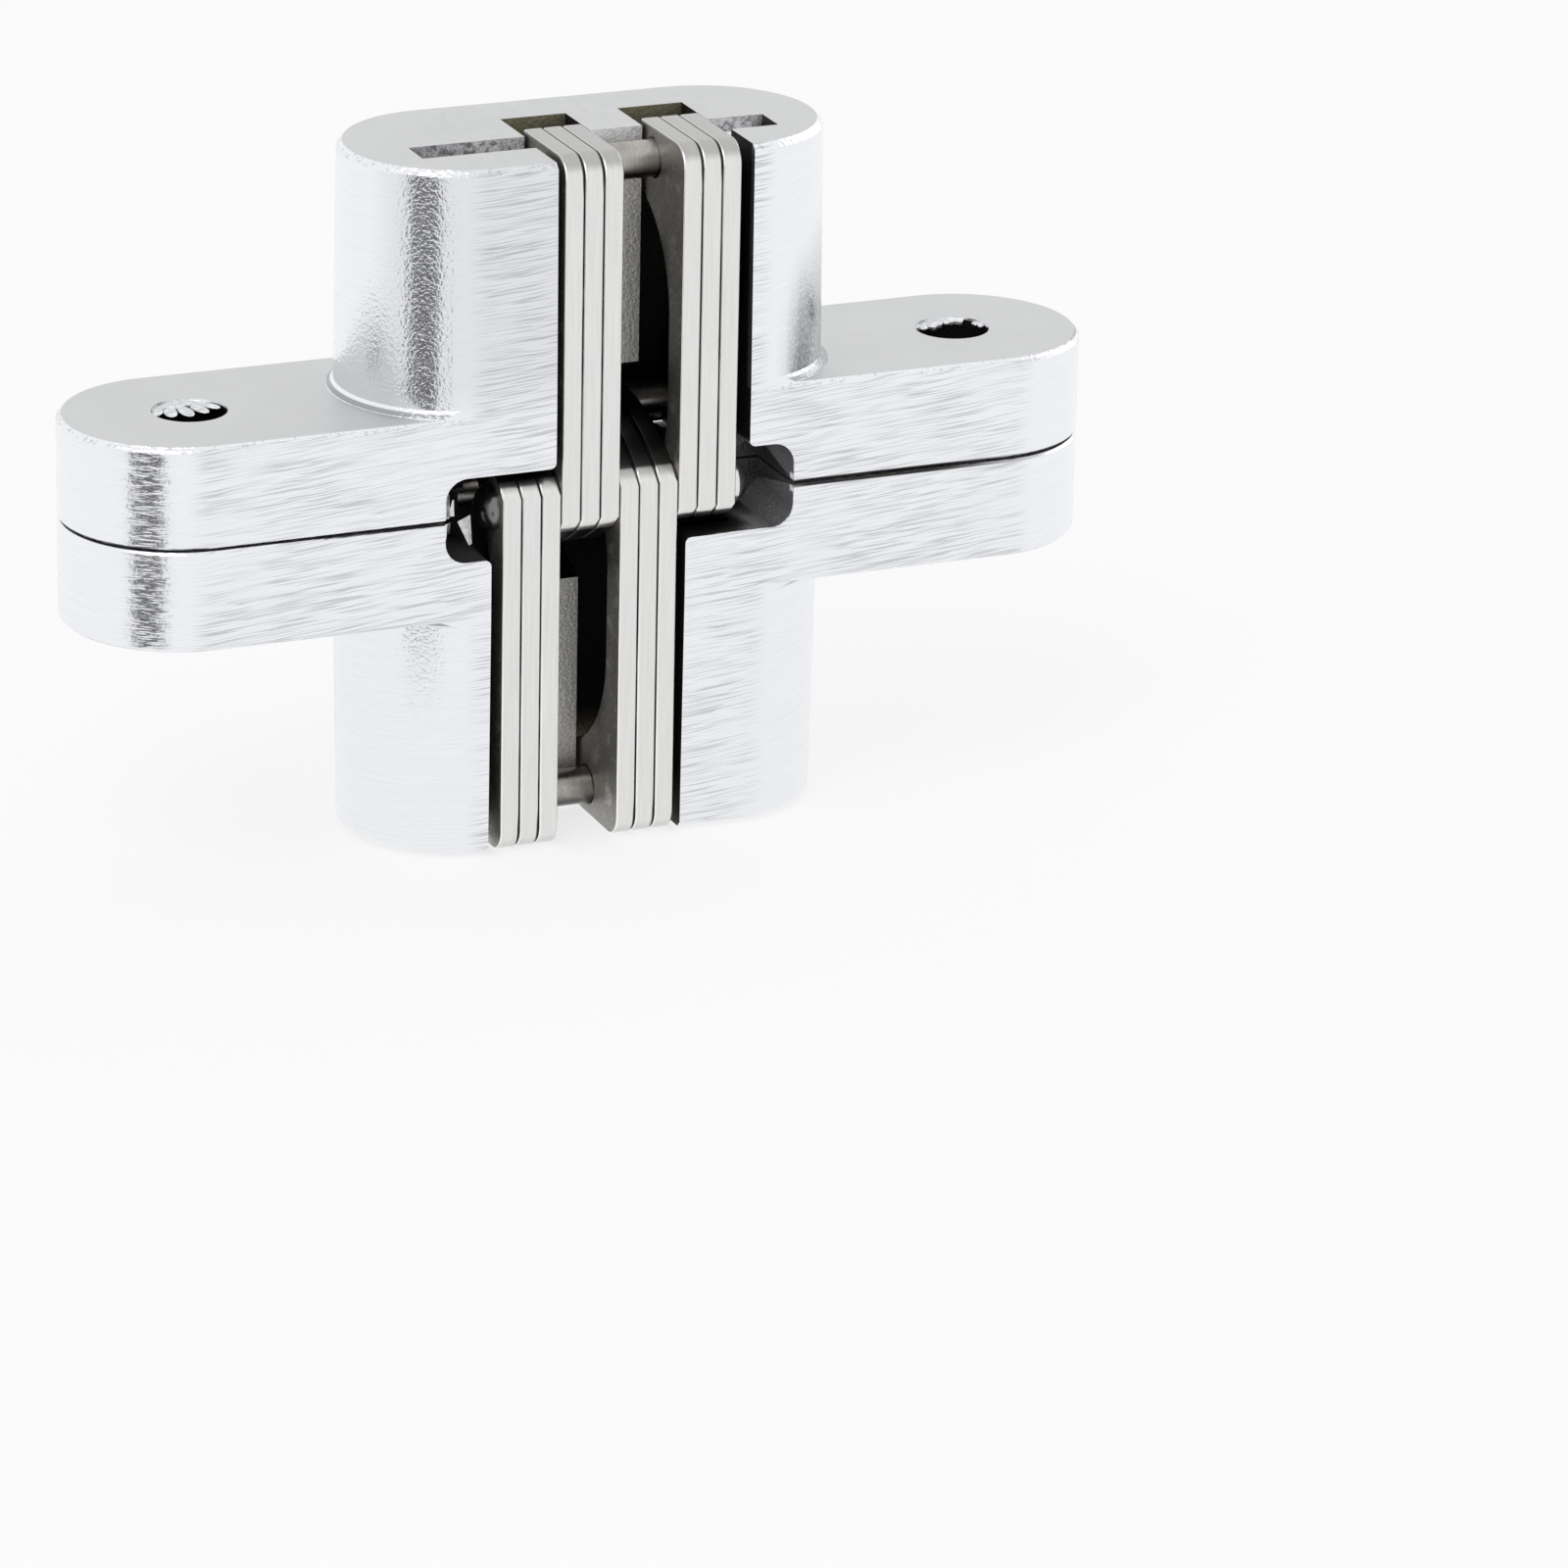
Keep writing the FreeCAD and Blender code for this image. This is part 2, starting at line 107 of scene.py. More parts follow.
# Flash in the screw holes: its depth and thickness, and its lumps' places from the hole's middle
FLASH_SUNK = 0.5
FLASH_THICKNESS = 0.3
LEFT_LUMPS = (
    # x, y, turn, size
    (-3.1, 1.4, -30, 0.62),
    (-1.8, 0.9, -12, 0.74),
    (-0.15, 0.6, 0, 0.78),
    (1.5, 1.0, 14, 0.72),
    (2.9, 1.7, 34, 0.62),
)
RIGHT_LUMPS = (
    # x, y, size
    (-2.6, 1.9, 0.5),
    (0.6, 2.9, 0.45),
    (3.8, 0.6, 0.4),
    (3.6, 1.5, 0.5),
)

# Flash at the left end of the recess: root's x, y and z, turn about z, lean, width and height
SHARD_THICKNESS = 0.14
SHARDS = {
    "upper": ((-20.0, -12.3, 0.3, 25, 4, 1.1, 3.4), (-19.5, -12.1, 0.4, 60, -6, 0.8, 2.6),
              (-19.1, -11.6, 0.3, 15, 8, 0.9, 1.8), (-19.8, -11.2, 0.5, 70, 0, 1.2, 3.0)),
    "lower": ((-20.1, -12.3, -0.3, 20, -5, 0.9, 1.7), (-17.2, -10.4, -0.5, 14, -16, 2.0, 3.3),
              (-19.4, -11.9, -0.3, 50, 10, 0.7, 1.2)),
}

# Lamps: name, place in metres, side in metres and share of the key lamp's power
LAMPS = (
    ("key", (-0.75, -0.75, 1.35), 0.9, 1.0),
    ("rim", (1.2, 0.6, 0.8), 0.8, 0.4),
)

# Dark card that the metal mirrors: distance in metres, then angles in degrees as seen from the hinge. Its
# bearing is to the left of the front.
CARD_REACH = 1.5
CARD_BEARING = 49
CARD_WIDTH = 30
CARD_BOTTOM = -27
CARD_TOP = -10

# Radius in millimetres of the floor that hides the card from the hinge's foot
NEAR_FLOOR = 112.0

# Greys of the stage, from 0 for black to 1 for white, and the share of glow in what the camera sees of the
# floor
FLOOR_PAINT = 0.92
FLOOR_GLOW_SHARE = 0.75
NEAR_FLOOR_GLOW = 0.97
CARD_PAINT = 0.07

# Roughness where no setting gives it
FACE_ROUGHNESS = 0.38
HOLLOW_ROUGHNESS = 0.55
FLANK_ROUGHNESS = 0.5
PIN_ROUGHNESS = 0.24
FLASH_ROUGHNESS = 0.32

# Depth of each metal's grain in millimetres
LEAF_GRAIN = 0.05
LINK_GRAIN = 0.02
PIN_GRAIN = 0.015
FLASH_GRAIN = 0.06


# Settings

def colour(name, description, default):
    return FloatVectorProperty(name=name, description=description, default=default, subtype="COLOR", size=3,
                               min=0, max=1)


def length(name, description, default):
    """Length given in millimetres and kept in metres."""
    return FloatProperty(name=name, description=description, default=default * MM, unit="LENGTH",
                         subtype="DISTANCE")


def factor(name, description, default):
    return FloatProperty(name=name, description=description, default=default, min=0, max=1, subtype="FACTOR")


class LeafFinish(bpy.types.PropertyGroup):
    """Finish of the two cast leaves."""
    brushed: colour("Brushed sides", "Zinc of the brushed sides and round ends", (0.855, 0.865, 0.892))
    faces: colour("Cast faces", "Zinc of the end faces and of the flanges' backs", (0.61, 0.615, 0.62))
    glint: colour("Glints", "Bright specks of the cast faces", (0.8, 0.8, 0.8))
    scratch: colour("Scratches", "Dull zinc at the bottom of the brush marks", (0.36, 0.365, 0.38))
    # Painted shade: this colour darkens the right round end of the upper body
    unbrushed: colour("Unbrushed root", "Dull zinc where the brush doesn't reach", (0.26, 0.265, 0.28))
    # Dark cast skin, taken to near black as painted shade in the hollows; also the painted shade along the
    # parting line and on the parting faces behind the links
    hollow: colour("Hollows", "Rough cast metal inside the hollows", (0.035, 0.034, 0.033))
    # Raised to paint light onto the rib, which sits in shadow
    rib: colour("Rib", "Rough cast metal of the rib between the slots", (0.65, 0.64, 0.62))
    slot_end: colour("Slot ends", "Stained cast metal at the outer ends of the slots", (0.34, 0.32, 0.22))
    # Painted shade at the right end of the recess, lighter than in the hollows
    recess: colour("Recess", "Cast metal at the right end of the recess", (0.13, 0.13, 0.135))
    gloss: factor("Roughness", "Roughness of the brushed sides", 0.2)
    rounding: length("Edge rounding", "How far the leaves' sharp edges are rounded", 0.12)
    corner: length("Corner rounding", "Radius of the corners between the trough and the recess", 0.8)
    broken: length("Broken edge rounding", "How far the edges of the brushed chamfers are rounded", 0.34)


class LinkFinish(bpy.types.PropertyGroup):
    """Finish of the link plates and pins."""
    edge: colour("Plate edges", "Ground edges of the link plates", (0.76, 0.755, 0.745))
    # Bright rims: partly the burr of blanking, partly a painted highlight on the plates' left edges
    rim: colour("Plate rims", "Worn bright rims of the link plates", (0.94, 0.93, 0.92))
    flank: colour("Plate flanks", "Rolled flanks of the link plates", (0.34, 0.33, 0.31))
    # Painted shade: near-black in the seams between plates, behind their fronts and deep in the leaf
    oiled: colour("Oiled steel", "Dark oiled steel in the seams and inside the leaf", (0.02, 0.02, 0.02))
    pin: colour("Pins", "Turned steel of the pins", (0.42, 0.40, 0.375))
    head: colour("Rivet heads", "Dark heads of the middle pin", (0.20, 0.20, 0.20))
    gloss: factor("Roughness", "Roughness of the plate edges", 0.3)
    rounding: length("Edge rounding", "How far the plates' edges are rounded", 0.27)


class Studio(bpy.types.PropertyGroup):
    """Camera, light and floor."""
    floor_size: length("Floor", "Side of the square floor", 6000)
    fill: FloatProperty(name="Fill", description="Strength of the light from all round", default=0.75, min=0)
    key: FloatProperty(name="Key", description="Power of the key lamp", default=6.0, min=0, unit="POWER")
    focal_length: FloatProperty(name="Focal length", description="Focal length in millimetres",
                                default=174.3)
    turn: FloatProperty(name="Turn", description="Turn of the camera about the vertical", subtype="ANGLE",
                        default=math.radians(-23.63))
    tilt: FloatProperty(name="Tilt", description="How far the camera looks down", subtype="ANGLE",
                        default=math.radians(20.72))
    roll: FloatProperty(name="Roll", description="Roll of the camera", subtype="ANGLE",
                        default=math.radians(-1.30))
    aim: FloatVectorProperty(name="Aim", description="Hinge's place before the camera: right, away and up",
                             subtype="TRANSLATION", unit="LENGTH", default=(-0.02256, 0.82775, 0.03447))


# Shader values

# Sockets of the mix node that a blend of colours uses
MIX_SHARE = 0
MIX_FIRST = 6
MIX_SECOND = 7
MIX_RESULT = 2


class Value:
    """Output of a node. An expression on values adds its Math nodes."""

    def __init__(self, shader, socket):
        self.shader = shader
        self.socket = socket

    def math(self, operation, *operands):
        return self.shader.node("ShaderNodeMath", {"operation": operation}, *operands)

    def __add__(self, other):
        return self.math("ADD", self, other)

    def __sub__(self, other):
        return self.math("SUBTRACT", self, other)

    def __rsub__(self, other):
        return self.math("SUBTRACT", other, self)

    def __mul__(self, other):
        return self.math("MULTIPLY", self, other)

    def __truediv__(self, other):
        return self.math("DIVIDE", self, other)

    def __abs__(self):
        return self.math("ABSOLUTE", self)

    def __neg__(self):
        return self.math("MULTIPLY", self, -1.0)

    __radd__ = __add__
    __rmul__ = __mul__

    def root(self):
        return self.math("SQRT", self)

    def part(self):
        """What is left over the whole number below."""
        return self.math("FRACT", self)

    def high(self, other):
        return self.math("MAXIMUM", self, other)

    def ramp(self, start, end):
        """0 up to start, 1 from end on, and smooth between."""
        return self.shader.node("ShaderNodeMapRange", {"interpolation_type": "SMOOTHSTEP"},
                                **{"Value": self, "From Min": start, "From Max": end})


class Shader:
    """A material's nodes."""

    def __init__(self, tree):
        self.tree = tree
        tree.nodes.clear()

    def node(self, kind, settings=None, *inputs, output=0, **named):
        """Adds a node: its settings first, then its sockets' values or links by order or name."""
        made = self.tree.nodes.new(kind)
        for key, value in (settings or {}).items():
            setattr(made, key, value)
        for key, value in [*enumerate(inputs), *named.items()]:
            socket = made.inputs[key]
            if isinstance(value, Value):
                self.tree.links.new(value.socket, socket)
            else:
                socket.default_value = value
        return Value(self, made.outputs[output]) if made.outputs else None

    def coordinates(self):
        """Object coordinates in millimetres, as x, y and z."""
        place = self.node("ShaderNodeTexCoord", output="Object")
        return self.split(self.node("ShaderNodeVectorMath", {"operation": "SCALE"}, place, Scale=1 / MM))

    def normal(self):
        """The surface's direction in the object's own frame, as x, y and z."""
        return self.split(self.node("ShaderNodeTexCoord", output="Normal"))

    def split(self, vector):
        made = self.node("ShaderNodeSeparateXYZ", {}, vector).socket.node
        return [Value(self, socket) for socket in made.outputs]

    def joined(self, x, y, z):
        return self.node("ShaderNodeCombineXYZ", {}, x, y, z)

    def noise(self, place, scale, detail=2.0, roughness=0.5):
        return self.node("ShaderNodeTexNoise", Vector=place, Scale=scale, Detail=detail, Roughness=roughness)

    def blend(self, share, first, second):
        """Colour that goes from the first to the second as share goes from 0 to 1."""
        made = self.tree.nodes.new("ShaderNodeMix")
        made.data_type = "RGBA"
        sockets = {MIX_SHARE: share, MIX_FIRST: first, MIX_SECOND: second}
        for index, value in sockets.items():
            if isinstance(value, Value):
                self.tree.links.new(value.socket, made.inputs[index])
            elif index == MIX_SHARE:
                made.inputs[index].default_value = value
            else:
                made.inputs[index].default_value = (*value, 1.0)
        return Value(self, made.outputs[MIX_RESULT])

    def shade(self, tint, amount):
        """Colour times an amount."""
        return self.node("ShaderNodeVectorMath", {"operation": "SCALE"}, tint, Scale=amount)

    def bump(self, height, depth):
        """Normal of a surface with this height, from 0 to 1, and this depth in millimetres."""
        return self.node("ShaderNodeBump", Strength=1.0, Distance=depth * MM, Height=height)

    def surface(self, tint, roughness, normal):
        """Bare metal."""
        metal = self.node("ShaderNodeBsdfPrincipled", **{
            "Base Color": tint, "Roughness": roughness, "Metallic": 1.0, "Normal": normal})
        self.node("ShaderNodeOutputMaterial", Surface=metal)


def grey(level):
    return (level, level, level, 1)


def material(name):
    made = bpy.data.materials.new(name)
    made.use_nodes = True
    return made, Shader(made.node_tree)


def dress(piece, finish):
    piece.data.materials.clear()
    piece.data.materials.append(finish)


# Finishes

class LeafPlace:
    """Shader values from 0 to 1 that say what part of a leaf a point belongs to."""

    def __init__(self, s):
        self.x, self.y, self.z = s.coordinates()
        self.nx, self.ny, self.nz = s.normal()
        self.tall = abs(self.z)
        self.upright = abs(self.nz)
        self.forward = (-self.ny).ramp(0.5, 0.9)
        self.flat = self.upright.ramp(0.9, 0.98)

        # How far a point lies beyond the straight run of the flange or, from its top on, of the body
        self.on_body = self.tall.ramp(FLANGE_TOP - 0.3, FLANGE_TOP - 0.1)
        self.beyond = (abs(self.x) - FLANGE_REACH + self.on_body * (FLANGE_REACH - BODY_REACH)).high(0.0)
        run = self.beyond.ramp(1.0, 0.0)

        # How deep it lies under the slot-shaped skin, and whether it faces a hollow
        depth = LEAF_WIDTH / 2 - (self.beyond * self.beyond + self.y * self.y).root()
        parting = self.tall.ramp(0.7, 0.45)
        plane = parting.high(self.tall.ramp(END_FACE - 0.6, END_FACE - 0.35)) * self.flat
        wall = abs(self.nx).ramp(0.6, 0.8) * run
        shelf = self.flat * self.tall.ramp(2.0, 3.0) * self.tall.ramp(10.0, 9.0)
        mouth = depth.ramp(0.12, 0.3) * self.tall.ramp(0.8, 1.2) * self.tall.ramp(9.0, 8.0) * run
        self.inside = depth.ramp(0.9, 1.3).high(mouth).high(wall).high(shelf) * (1 - plane)
        self.outside = (1 - self.flat) * (1 - self.inside)

        # Edges of the end face and the flange, and the sloped foot of the body
        self.root = (self.upright.ramp(0.3, 0.5) * self.tall.ramp(FLANGE_TOP + 0.05, FLANGE_TOP + 0.1)
                     * self.tall.ramp(15.0, 14.0))
        self.edge = (self.upright.ramp(0.08, 0.3) * self.upright.ramp(0.98, 0.9) * self.z.ramp(0.0, 2.0)
                     * (1 - self.root))

        # Parting faces behind the links, coloured as dark as the hollows
        self.oily = parting * self.y.ramp(9.0, 11.0) * abs(self.x).ramp(18.0, 16.0)


class LeafGrain:
    """Noises that roughen a leaf."""

    def __init__(self, s, at):
        place = s.joined(at.x, at.y, at.z)
        self.cloud = s.noise(place, 0.13, 2.0, 0.5)
        self.grit = s.noise(place, 2.6, 1.0, 0.6)
        self.speck = s.noise(place, 4.5, 3.0, 0.7)
        self.chips = s.noise(place, 1.6, 2.0, 0.6)

        # The brush ran round the leaf: it cut fine lines into the flats and bounced in ripples at the ends
        lay = at.z - at.x * 0.08 + self.cloud * 0.6
        self.marks = s.noise(s.joined(at.x * 0.14, at.y * 0.14, lay * 7.5), 1.0, 1.0, 0.5)
        self.ripples = s.noise(s.joined(at.x * 0.3, at.y * 0.3, at.z * 1.8), 1.0, 1.5, 0.6)
        self.turn = at.beyond.ramp(0.5, 3.5)
        patchy = (1 - self.turn) * (0.5 + self.cloud.ramp(0.4, 0.6) * 0.5)
        self.cut = self.marks.ramp(0.49, 0.62) * patchy * (0.75 + at.z.ramp(28.0, 36.0) * 0.6)


def brushed_side(s, finish, at, grain):
    """Colour of the sides and round ends."""

    # A painted reflection that darkens the left part of the upper body's front, painted shade on the lower
    # right round end of the upper body, and painted shade along the parting line right of the mouth
    dull_and_reflection = at.z.ramp(9.0, 16.0) * at.x.ramp(14.0, 4.0) * (-at.ny).ramp(0.4, 0.7)
    unbrushed = (at.on_body * at.nx.ramp(0.2, 0.55) * at.ny.ramp(0.3, -0.3) * at.z.ramp(0.0, 5.0)
                 * (at.z - at.nx * 14).ramp(20.0, 4.0))
    seam_shade = at.tall.ramp(0.5, 0.35) * at.x.ramp(16.0, 22.0) * at.x.ramp(56.0, 36.0)
    side = s.blend(grain.cut * 0.75, finish.brushed, finish.scratch)
    # Painted reflection: the left part of the upper body's front is darkened
    side = s.shade(side, 1 - dull_and_reflection * 0.12)
    # Painted shade on the right-facing round end of the upper body, broken up by grit
    side = s.blend(unbrushed * (0.6 + grain.grit.ramp(0.3, 0.6) * 0.35), side, finish.unbrushed)
    side = s.blend(at.root * at.tall.ramp(FLANGE_TOP + 0.55, FLANGE_TOP + 0.4), side, finish.scratch)
    # Painted shade: the brushed sides go near-black along the parting line right of the mouth
    side = s.blend(seam_shade, side, finish.hollow)
    chipped = grain.chips.ramp(0.56, 0.66) * at.edge
    return s.shade(s.blend(chipped * 0.4, side, finish.scratch), 0.95 + grain.marks * 0.1)


def cast_face(s, finish, grain):
    """Colour of the end faces, the flanges' backs and the parting faces."""
    face = s.blend(grain.speck.ramp(0.58, 0.8) * 0.3, finish.faces, finish.glint)
    return s.shade(face, 0.95 + grain.cloud * 0.1)


def cast_hollow(s, finish, at, grain):
    """Colour inside: the rib and the groove at the end are painted as lit, the slot ends are stained, the
    right end of the recess has a lighter painted shade, and the rest is dark cast skin with painted shade to
    near black.
    """
    rib = at.inside * abs(abs(at.x) - RIB_MIDDLE).ramp(3.3, 2.9) * at.forward * at.y.ramp(2.0, 1.0)
    groove = at.inside * at.tall.ramp(END_FACE - 5, END_FACE - 3) * at.forward * at.y.ramp(2.0, 1.0)
    slot_end = at.inside * at.tall.ramp(END_FACE - 9, END_FACE - 2) * at.forward * at.y.ramp(1.0, 2.0)
    recess = at.inside * at.tall.ramp(6.0, 5.0) * at.x.ramp(13.5, 16.0)
    # Painted shade to near black in the hollows, with painted light on the rib
    cast = s.blend(rib, finish.hollow, finish.rib)
    # Lighter painted shade at the right end of the recess
    cast = s.blend(recess, cast, finish.recess)
    cast = s.blend(slot_end, cast, finish.slot_end)
    # Painted light: the groove at the end takes the bright brushed colour, broken up by chips
    cast = s.blend(groove * (0.35 + grain.chips.ramp(0.3, 0.6) * 0.65), cast, finish.brushed)
    return s.shade(cast, 0.35 + grain.speck * 1.3)


def leaf_metal(finish):
    """Zinc that is brushed on its sides, plain on its faces, and rough and dark in its hollows."""
    made, s = material("leaf_zinc")
    at = LeafPlace(s)
    grain = LeafGrain(s, at)
    outer = s.blend(at.flat, brushed_side(s, finish, at, grain), cast_face(s, finish, grain))
    # The parting faces behind the links take the hollows' near-black
    outer = s.blend(at.oily, outer, finish.hollow)
    tint = s.blend(at.inside, outer, cast_hollow(s, finish, at, grain))
    smooth = finish.gloss + at.flat * (FACE_ROUGHNESS - finish.gloss) + grain.cut * 0.15
    roughness = smooth + at.inside * (HOLLOW_ROUGHNESS - smooth)
    round_end = grain.ripples * (2.4 - at.on_body * 2.2) + grain.grit * (0.3 + at.on_body * 0.6)
    brushed = grain.marks * (1 - grain.turn) + round_end * grain.turn + grain.chips * at.edge * 2.5
    height = brushed * at.outside + grain.grit * (0.1 + at.inside * 1.2)
    s.surface(tint, roughness, s.bump(height, LEAF_GRAIN))
    return made


def link_metal(finish):
    """Stamped steel: ground lengthwise on its edges and matt on its flanks, with painted highlight and shade
    on its edges and painted shade in the seams and inside the leaf.
    """
    made, s = material("link_steel")
    x, y, z = s.coordinates()
    nx, ny, nz = s.normal()
    flank = abs(nx).ramp(0.9, 0.97)
    rim = 1 - flank
    # Part burr, part painted highlight: left-facing edges take the bright rim colour
    burr_and_highlight = (-nx).ramp(0.15, 0.4) * rim
    grain = s.noise(s.joined(x * 3.0, y * 0.8, z * 0.12), 1.0, 2.0, 0.6)
    grit = s.noise(s.joined(x, y, z), 3.0, 1.5, 0.6)
    rub = s.noise(s.joined(x, y * 0.3, z * 0.3), 1.2, 4.0, 0.65)

    # Painted shade in the seams between the plates of a stack, lighter in places along their straight fronts
    inner = abs((x / STACK_WIDTH).part() - 0.5).ramp(0.42, 0.36)
    straight = abs(z).ramp(36.5, 34.0)
    patchy = straight * s.noise(s.joined(x * 0.6, 0.0, z * 0.1), 1.0, 2.0, 0.6).ramp(0.42, 0.6)
    seam_shade = ((nx - straight * 0.4).ramp(0.08, 0.25) * inner).high((-nx).ramp(0.8, 0.9)) * rim
    seam_shade = seam_shade * (1 - patchy * 0.65)

    # Painted shade behind the plates' fronts and deep in the leaf
    sunk = y.ramp(PLATE_FRONT + 1.45, PLATE_FRONT + 1.8) * abs(z).ramp(36.0, 34.5) * rim
    deep = y.ramp(PLATE_FRONT + 2.6, PLATE_FRONT + 6.1) * abs(z).ramp(30.0, 24.0)

    tint = s.shade(s.blend(burr_and_highlight, finish.edge, finish.rim), 0.84 + grain * 0.22 + grit * 0.06)
    # Painted shade: faces that look up are darkened, faces that look down a little less
    tint = s.shade(tint, 1 - nz.ramp(0.3, 0.7) * 0.38 - (-nz).ramp(0.3, 0.7) * 0.15)
    dull_and_reflection = s.shade(s.blend(rub.ramp(0.5, 0.7) * 0.6, finish.flank, finish.edge), 0.5 + grit)
    tint = s.blend(flank, tint, dull_and_reflection)
    tint = s.blend(seam_shade * 0.95, tint, finish.oiled)
    tint = s.blend(sunk.high(deep) * 0.92, tint, finish.oiled)
    roughness = finish.gloss + flank * (FLANK_ROUGHNESS - finish.gloss)
    height = grain * 0.5 * rim + grit * (0.2 + flank * 0.6)
    s.surface(tint, roughness, s.bump(height, LINK_GRAIN))
    return made


def pin_metal(finish):
    """Turned steel with fine rings and painted shade on its underside."""
    made, s = material("pin_steel")
    x, y, z = s.coordinates()
    nz = s.normal()[2]
    rings = s.noise(s.joined(x * 5.0, y * 0.2, z * 0.2), 1.0, 1.5, 0.6)
    patch = s.noise(s.joined(x * 0.5, y * 0.5, z * 0.5), 1.0, 2.0, 0.6)
    grit = s.noise(s.joined(x, y, z), 3.0, 1.5, 0.7)
    head = abs(x).ramp(LAST_PLATE - 0.16, LAST_PLATE + 0.14)
    tint = s.blend(grit.ramp(0.5, 0.8), finish.pin, finish.flank)
    tint = s.shade(tint, 0.4 + rings * 0.4 + patch * 0.8)
    # Painted shade: the underside of each pin is darkened
    tint = s.shade(tint, 1 - (-nz).ramp(-0.2, 0.6) * 0.8)
    tint = s.blend(head, tint, s.blend(x.ramp(-1.0, 1.0), finish.head, finish.edge))
    roughness = PIN_ROUGHNESS - head * 0.06 + grit * 0.1
    s.surface(tint, roughness, s.bump(rings * 0.6 + grit * 0.4, PIN_GRAIN))
    return made


def flash_metal(finish):
    """Torn edge of a casting: bright and lumpy."""
    made, s = material("flash_zinc")
    x, y, z = s.coordinates()
    lumps = s.noise(s.joined(x, y, z), 1.8, 4.0, 0.7)
    tint = s.shade(s.blend(lumps.ramp(0.4, 0.65), finish.faces, finish.brushed), 0.9 + lumps * 0.2)
    s.surface(tint, FLASH_ROUGHNESS + lumps * 0.15, s.bump(lumps, FLASH_GRAIN))
    return made


# Meshes

def finished(name, mesh, finish, body):
    """Turns a bmesh in millimetres into a piece that rides on a body."""
    bmesh.ops.remove_doubles(mesh, verts=mesh.verts, dist=0.001)
    bmesh.ops.recalc_face_normals(mesh, faces=mesh.faces)
    bmesh.ops.scale(mesh, vec=(MM, MM, MM), verts=mesh.verts)
    data = bpy.data.meshes.new(name)
    mesh.to_mesh(data)
    mesh.free()
    data.materials.append(finish)
    for polygon in data.polygons:
        polygon.use_smooth = True
    data.set_sharp_from_angle(angle=math.radians(35))
    piece = bpy.data.objects.new(name, data)
    bpy.context.scene.collection.objects.link(piece)
    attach(piece, body)
    return piece


def at_recess_corner(edge):
    """Whether an edge is a sharp corner between the trough and the recess, on the front of a leaf."""
    first, second = (vert.co for vert in edge.verts)
    if not edge.is_manifold or edge.calc_length() < 1 or edge.calc_face_angle() < math.radians(80):
        return False
    level = all(abs(abs(place.z) - MOUTH_HEIGHT) < 0.1 for place in (first, second))
    beside_links = abs(first.x - second.x) < 0.05 and abs(first.x) < 2.5 * STACK_WIDTH
    return level and beside_links and min(first.y, second.y) < -12


def bevel(mesh, edges, offset, segments, clamped):
    """Rounds edges by an offset in metres."""
    bmesh.ops.bevel(mesh, geom=edges, offset=offset / MM, offset_type="OFFSET", segments=segments,
                    profile=0.5, affect="EDGES", clamp_overlap=clamped, material=-1)


def rounded(node, steps, finish, corner=0.0):
    """Copy of a CAD node that stands for it, with its edges rounded.

    Each step has the lowest and the highest angle between the faces of an edge that it rounds, the offset
    and the number of segments. A leaf also has the radius of its recess's corners, and its parting edges
    stay sharp.
    """
    source = NODES[node]
    mesh = bmesh.new()
    mesh.from_mesh(source.data)
    bmesh.ops.scale(mesh, vec=(1 / MM,) * 3, verts=mesh.verts)
    bmesh.ops.remove_doubles(mesh, verts=mesh.verts, dist=0.002)
    bmesh.ops.dissolve_limit(mesh, angle_limit=math.radians(0.5), verts=mesh.verts, edges=mesh.edges)
    if corner:
        bevel(mesh, [edge for edge in mesh.edges if at_recess_corner(edge)], corner, 4, True)
    for low, high, offset, segments in steps:
        edges = [edge for edge in mesh.edges
                 if edge.is_manifold and math.radians(low) < edge.calc_face_angle() < math.radians(high)]
        if corner:
            edges = [edge for edge in edges if min(abs(vert.co.z) for vert in edge.verts) >= 1]
        bevel(mesh, edges, offset, segments, bool(corner))
    piece = finished(node + "_rounded", mesh, finish, source["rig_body"])
    even = piece.modifiers.new("even shading", "WEIGHTED_NORMAL")
    even.keep_sharp = True
    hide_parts(node)
    return piece


def skin(mesh, middle, edge):
    """Skin of flash in a screw hole, open in front of a ragged edge. The edge is a function of x."""
    radius = SCREW_HOLE_RADIUS + 0.05
    made = bmesh.ops.create_circle(mesh, cap_ends=True, segments=160, radius=radius)["verts"]
    for vert in made:
        if vert.co.y < 0:
            vert.co.y = max(vert.co.y, min(edge(vert.co.x), -vert.co.y - 0.02))
    raised = bmesh.ops.extrude_face_region(mesh, geom=[made[0].link_faces[0]])["geom"]
    top = [item for item in raised if isinstance(item, bmesh.types.BMVert)]
    bmesh.ops.translate(mesh, vec=(0, 0, FLASH_THICKNESS), verts=top)
    bmesh.ops.translate(mesh, vec=middle, verts=made + top)


def lump(mesh, middle, size, turn=0):
    """Rounded lump of flash with these half sizes, turned about z."""
    place = (Matrix.Translation(middle) @ Matrix.Rotation(math.radians(turn), 4, "Z")
             @ Matrix.Diagonal((*size, 1)))
    bmesh.ops.create_uvsphere(mesh, u_segments=20, v_segments=12, radius=1.0, matrix=place)


def shard(mesh, root, turn, lean, width, height, side):
    """Thin pointed sheet of flash on one side of the parting plane, turned about z and leaning in x."""
    place = (Matrix.Translation(root) @ Matrix.Rotation(math.radians(turn), 4, "Z")
             @ Matrix.Rotation(math.radians(lean), 4, "Y")
             @ Matrix.Diagonal((width, SHARD_THICKNESS, height * side, 1))
             @ Matrix.Translation((0, 0, 0.5)))
    bmesh.ops.create_cone(mesh, cap_ends=True, segments=6, radius1=0.5, radius2=0.12, depth=1.0,
                          matrix=place)


# Operators

